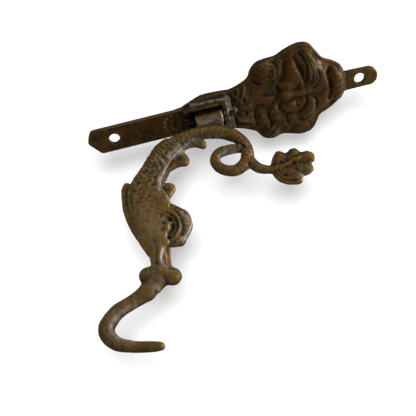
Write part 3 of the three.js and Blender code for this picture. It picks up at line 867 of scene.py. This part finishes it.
def lathe(name, profile, sides, centre):
    """A solid turned about the pin's axis from (radius, z) stops that start and end on the axis."""
    turn = np.linspace(0, 2 * math.pi, sides, endpoint=False)
    vertices = [(0, 0, profile[0][1])]
    for radius, z in profile[1:-1]:
        vertices += [(radius * math.cos(a), radius * math.sin(a), z) for a in turn]
    vertices.append((0, 0, profile[-1][1]))
    faces = [(0, 1 + (j + 1) % sides, 1 + j) for j in range(sides)]
    for ring in range(len(profile) - 3):
        for j in range(sides):
            a, b = 1 + ring * sides + j, 1 + ring * sides + (j + 1) % sides
            faces.append((a, b, b + sides, a + sides))
    last = 1 + (len(profile) - 3) * sides
    faces += [(len(vertices) - 1, last + j, last + (j + 1) % sides) for j in range(sides)]
    mesh = bpy.data.meshes.new(name)
    mesh.from_pydata([(Vector(v) * MM + centre)[:] for v in vertices], [], faces)
    mesh.shade_smooth()
    piece = bpy.data.objects.new(name, mesh)
    bpy.context.scene.collection.objects.link(piece)
    return piece


def hinge_pin():
    foot = LOWER_EAR_Z[0] - 0.05
    top = UPPER_EAR_Z[1] - 1.7
    r, h = PIN_RADIUS, PIN_HEAD_RADIUS
    profile = [
        (0, foot - 0.8), (h * 0.35, foot - 0.78), (h * 0.68, foot - 0.7), (h * 0.9, foot - 0.5),
        (h, foot - 0.28), (h * 0.98, foot - 0.08), (h * 0.9, foot), (r, foot), (r, foot + 0.02),
        (r, top - 0.2), (r - 0.2, top), (0, top),
    ]
    return lathe("hinge_pin_peened", profile, 48, PIN_AXIS)


# ---------------------------------------------------------------- materials

WEAR_AND_LIGHT_LABELS = ("fine", "broad", "tone_and_shade", "dust_and_sheen")


def ramp(nodes, links, source, stops):
    """A colour ramp fed by source; stops are (position, grey or colour)."""
    node = nodes.new("ShaderNodeValToRGB")
    elements = node.color_ramp.elements
    while len(elements) < len(stops):
        elements.new(0.5)
    for element, (position, colour) in zip(elements, stops):
        element.position = position
        element.color = (*colour, 1) if isinstance(colour, tuple) else (colour, colour, colour, 1)
    links.new(source, node.inputs[0])
    return node.outputs[0]


def mixed(nodes, links, factor, a, b):
    node = nodes.new("ShaderNodeMix")
    node.data_type = "RGBA"
    links.new(factor, node.inputs[0])
    for socket, value in ((node.inputs[6], a), (node.inputs[7], b)):
        if isinstance(value, tuple):
            socket.default_value = (*value, 1)
        else:
            links.new(value, socket)
    return node.outputs[2]


def arithmetic(nodes, links, operation, a, b):
    node = nodes.new("ShaderNodeMath")
    node.operation = operation
    for socket, value in zip(node.inputs, (a, b)):
        if isinstance(value, (int, float)):
            socket.default_value = value
        else:
            links.new(value, socket)
    return node.outputs[0]


def noise(nodes, links, place, scale, detail, roughness=0.55):
    node = nodes.new("ShaderNodeTexNoise")
    node.inputs["Scale"].default_value = scale
    node.inputs["Detail"].default_value = detail
    node.inputs["Roughness"].default_value = roughness
    links.new(place, node.inputs["Vector"])
    return node.outputs["Fac"]


def aged_brass(name, dark, middle, bright, stains, green_amount, roughness, contrast):
    """Old cast brass: patina in hollows, rubbed metal on heights, stains, specks of verdigris, and the
    painted shade and painted highlights written on the mesh.
    """
    material = bpy.data.materials.new(name)
    material.use_nodes = True
    nodes, links = material.node_tree.nodes, material.node_tree.links
    shader = nodes["Principled BSDF"]
    place = nodes.new("ShaderNodeTexCoord").outputs["Object"]
    fine, broad, tone_and_shade, dust_and_sheen = [painted(nodes, label) for label in WEAR_AND_LIGHT_LABELS]
    mottle = noise(nodes, links, place, 520, 6, 0.65)
    grain = noise(nodes, links, place, 1600, 4, 0.7)

    # height above the surroundings, roughened by noise
    hollow = arithmetic(nodes, links, "ADD", fine, broad)
    blotch = arithmetic(nodes, links, "MULTIPLY", arithmetic(nodes, links, "SUBTRACT", mottle, 0.5), 2.2)
    level = arithmetic(nodes, links, "ADD", arithmetic(nodes, links, "MULTIPLY", hollow, -contrast), 0.5)
    level = arithmetic(nodes, links, "ADD", level, arithmetic(nodes, links, "MULTIPLY", blotch, 0.5))
    # the tone values add real tones of the metal, and painted shade and painted light, to the colour
    level = arithmetic(nodes, links, "ADD", level, tone_and_shade)
    colour = ramp(nodes, links, level, [(0.16, dark), (0.52, middle), (0.98, bright)])
    open_metal = ramp(nodes, links, level, [(0.0, 0.0), (0.2, 1.0)])
    for number, stain in enumerate(stains):
        shifted = nodes.new("ShaderNodeMapping")
        shifted.inputs["Location"].default_value = (0.3 * number, 0.1, 0.7 * number)
        links.new(place, shifted.inputs["Vector"])
        cloud = noise(nodes, links, shifted.outputs["Vector"], 150 + 90 * number, 5, 0.6)
        spread = ramp(nodes, links, cloud, [(0.50, 0.0), (0.62, 0.7)])
        cover = arithmetic(nodes, links, "MULTIPLY", open_metal, spread)
        colour = mixed(nodes, links, cover, colour, stain)

    # verdigris keeps to the hollows, in specks
    speck = noise(nodes, links, place, 750, 3, 0.6)
    damp = arithmetic(nodes, links, "MULTIPLY", ramp(nodes, links, hollow, [(0.30, 0.0), (0.85, 1.0)]),
                      ramp(nodes, links, speck, [(0.50, 0.0), (0.62, 1.0)]))
    verdigris = arithmetic(nodes, links, "MULTIPLY", damp, green_amount)
    colour = mixed(nodes, links, verdigris, colour, (0.050, 0.075, 0.070))
    # pale dust and painted highlights along the listed lines, broken up by the mottle
    thin = ramp(nodes, links, mottle, [(0.36, 0.1), (0.60, 1.0)])
    dust_and_sheen_cover = arithmetic(nodes, links, "MULTIPLY", dust_and_sheen, thin)
    colour = mixed(nodes, links, dust_and_sheen_cover, colour, (0.29, 0.285, 0.245))
    links.new(colour, shader.inputs["Base Color"])

    shader.inputs["Metallic"].default_value = 0.8
    shader.inputs["Specular IOR Level"].default_value = 0.2
    shader.inputs["Specular Tint"].default_value = (1.0, 0.84, 0.58, 1)
    shader.inputs["Coat Weight"].default_value = 0.14
    shader.inputs["Coat Roughness"].default_value = 0.4
    rough = ramp(nodes, links, level, [(0.2, min(1.0, roughness + 0.25)), (0.9, roughness - 0.1)])
    links.new(rough, shader.inputs["Roughness"])

    bump = nodes.new("ShaderNodeBump")
    bump.inputs["Strength"].default_value = 0.5
    bump.inputs["Distance"].default_value = 0.0003
    relief = arithmetic(nodes, links, "ADD", mottle, arithmetic(nodes, links, "MULTIPLY", grain, 0.5))
    links.new(relief, bump.inputs["Height"])
    links.new(bump.outputs["Normal"], shader.inputs["Normal"])
    return material


def painted(nodes, label):
    """One of the wear, tone, painted shade and painted highlight values written on the mesh."""
    node = nodes.new("ShaderNodeAttribute")
    node.attribute_name = label
    return node.outputs["Fac"]


def zero_wear_and_light(piece):
    """Gives a plain piece the wear, tone, painted shade and painted highlight values that the brass
    material reads, all zero.
    """
    for label in WEAR_AND_LIGHT_LABELS:
        piece.data.attributes.new(label, "FLOAT", "POINT")


# ---------------------------------------------------------------- pieces

plate = wall_plate()
arm = swing_arm()
pin = hinge_pin()
zero_wear_and_light(pin)

PLATE_STAINS = ((0.115, 0.036, 0.007), (0.082, 0.043, 0.004), (0.034, 0.028, 0.012))
PIN_SHADED_STAINS = ((0.012, 0.006, 0.003), (0.014, 0.009, 0.004), (0.006, 0.005, 0.004))
ARM_STAINS = ((0.165, 0.064, 0.014), (0.150, 0.088, 0.010), (0.070, 0.054, 0.028))
plate.data.materials.append(aged_brass(
    "plate_patina_and_painted_light", (0.007, 0.004, 0.001), (0.044, 0.020, 0.005), (0.100, 0.058, 0.017), PLATE_STAINS,
    0.25, 0.6, 0.25))
arm.data.materials.append(aged_brass(
    "arm_patina_and_painted_light", (0.015, 0.009, 0.003), (0.091, 0.050, 0.015), (0.185, 0.120, 0.049), ARM_STAINS,
    1.0, 0.54, 0.32))
# painted shade: the pin's brass is made near black, so that it reads as shadow in the hinge gap
pin.data.materials.append(aged_brass(
    "pin_painted_dark", (0.003, 0.002, 0.002), (0.010, 0.007, 0.004), (0.035, 0.023, 0.012), PIN_SHADED_STAINS,
    0.2, 0.7, 0.3))

for piece, node, body, slot in (
    (plate, "wall_plate", "bracket", "plate_brass"),
    (pin, "hinge_pin", "bracket", "pin_brass"),
    (arm, "swing_arm", "arm", "arm_brass"),
):
    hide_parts(node)
    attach(piece, body)


# ---------------------------------------------------------------- stage, light and camera

VIEW_AZIMUTH = 30      # degrees to the left of straight in front
VIEW_ROLL = 76         # the plate's top end points to the right, a little up
VIEW_DISTANCE = 0.3573
VIEW_SHIFT = (0.0009, -0.0414)
FOCAL_LENGTH = 70.44

back = Vector((-math.sin(math.radians(VIEW_AZIMUTH)), -math.cos(math.radians(VIEW_AZIMUTH)), 0))
level = Vector((0, 0, 1)).cross(back)
roll = math.radians(VIEW_ROLL)
right = math.cos(roll) * level + math.sin(roll) * Vector((0, 0, 1))
up = back.cross(right)


def in_view(x, y, z):
    """A point given in the camera's own directions, from the frame's origin, in metres."""
    return right * x + up * y + back * z


def make_camera():
    data = bpy.data.cameras.new("camera")
    data.lens = FOCAL_LENGTH
    data.sensor_width = 36
    data.clip_start = 0.01
    camera = bpy.data.objects.new("camera", data)
    turn = Matrix((right, up, back)).transposed().to_4x4()
    camera.matrix_world = Matrix.Translation(in_view(*VIEW_SHIFT, VIEW_DISTANCE)) @ turn
    bpy.context.scene.collection.objects.link(camera)
    bpy.context.scene.camera = camera


def make_backdrop():
    """A pale sheet behind the object, parallel to the arm. Seen from behind it lets the view through."""
    size = 1.5
    turn = math.radians(ARM_ANGLE)
    along = Vector((math.cos(turn), -math.sin(turn), 0))
    away = Vector((math.sin(turn), math.cos(turn), 0))
    middle = away * 0.038
    ends = ((-1, -1), (1, -1), (1, 1), (-1, 1))
    corners = [middle + along * a * size + Vector((0, 0, b * size)) for a, b in ends]
    mesh = bpy.data.meshes.new("backdrop")
    mesh.from_pydata([c[:] for c in corners], [], [(0, 1, 2, 3)])
    sheet = bpy.data.objects.new("backdrop", mesh)
    bpy.context.scene.collection.objects.link(sheet)
    sheet.visible_glossy = False
    material = bpy.data.materials.new("pale_paper")
    material.use_nodes = True
    nodes, links = material.node_tree.nodes, material.node_tree.links
    shader = nodes["Principled BSDF"]
    shader.inputs["Base Color"].default_value = (0.9, 0.9, 0.9, 1)
    shader.inputs["Roughness"].default_value = 0.9
    shader.inputs["Specular IOR Level"].default_value = 0
    clear = nodes.new("ShaderNodeBsdfTransparent")
    mix = nodes.new("ShaderNodeMixShader")
    links.new(nodes.new("ShaderNodeNewGeometry").outputs["Backfacing"], mix.inputs[0])
    links.new(shader.outputs[0], mix.inputs[1])
    links.new(clear.outputs[0], mix.inputs[2])
    links.new(mix.outputs[0], nodes["Material Output"].inputs["Surface"])
    mesh.materials.append(material)


def make_light(name, where, size, power, shines):
    """A round soft light aimed at the object. Where shines is false it gives no highlights."""
    data = bpy.data.lights.new(name, "AREA")
    data.shape = "DISK"
    data.size = size
    data.energy = power
    light = bpy.data.objects.new(name, data)
    light.location = in_view(*where)
    target = in_view(-0.01, -0.03, 0)
    light.rotation_euler = (light.location - target).to_track_quat("Z", "Y").to_euler()
    light.visible_glossy = shines
    bpy.context.scene.collection.objects.link(light)


def make_world():
    """A studio that is brightest to the right of the view and above it."""
    world = bpy.data.worlds.new("studio")
    world.use_nodes = True
    nodes, links = world.node_tree.nodes, world.node_tree.links
    toward = nodes.new("ShaderNodeVectorMath")
    toward.operation = "DOT_PRODUCT"
    toward.inputs[1].default_value = (right * 0.9 + up * 0.5 - back * 0.35).normalized()
    links.new(nodes.new("ShaderNodeTexCoord").outputs["Generated"], toward.inputs[0])
    # the third input of this node stays at 0.5, so it runs from 0 to 1
    share = arithmetic(nodes, links, "MULTIPLY_ADD", toward.outputs["Value"], 0.5)
    fall = ramp(nodes, links, share, [(0.0, 0.16), (0.5, 0.36), (0.8, 0.75), (1.0, 1.5)])
    by_camera = nodes.new("ShaderNodeLightPath").outputs["Is Camera Ray"]
    seen = mixed(nodes, links, by_camera, fall, (1.0, 1.0, 1.0))
    background = nodes["Background"]
    links.new(seen, background.inputs["Color"])
    background.inputs["Strength"].default_value = 1.25
    bpy.context.scene.world = world


make_camera()
make_backdrop()
make_world()
make_light("key", (-0.02, 0.088, 0.68), 0.26, 3.9, False)
make_light("side", (0.75, 0.12, 0.12), 0.45, 5.5, True)
bpy.context.scene.view_settings.view_transform = "Standard"
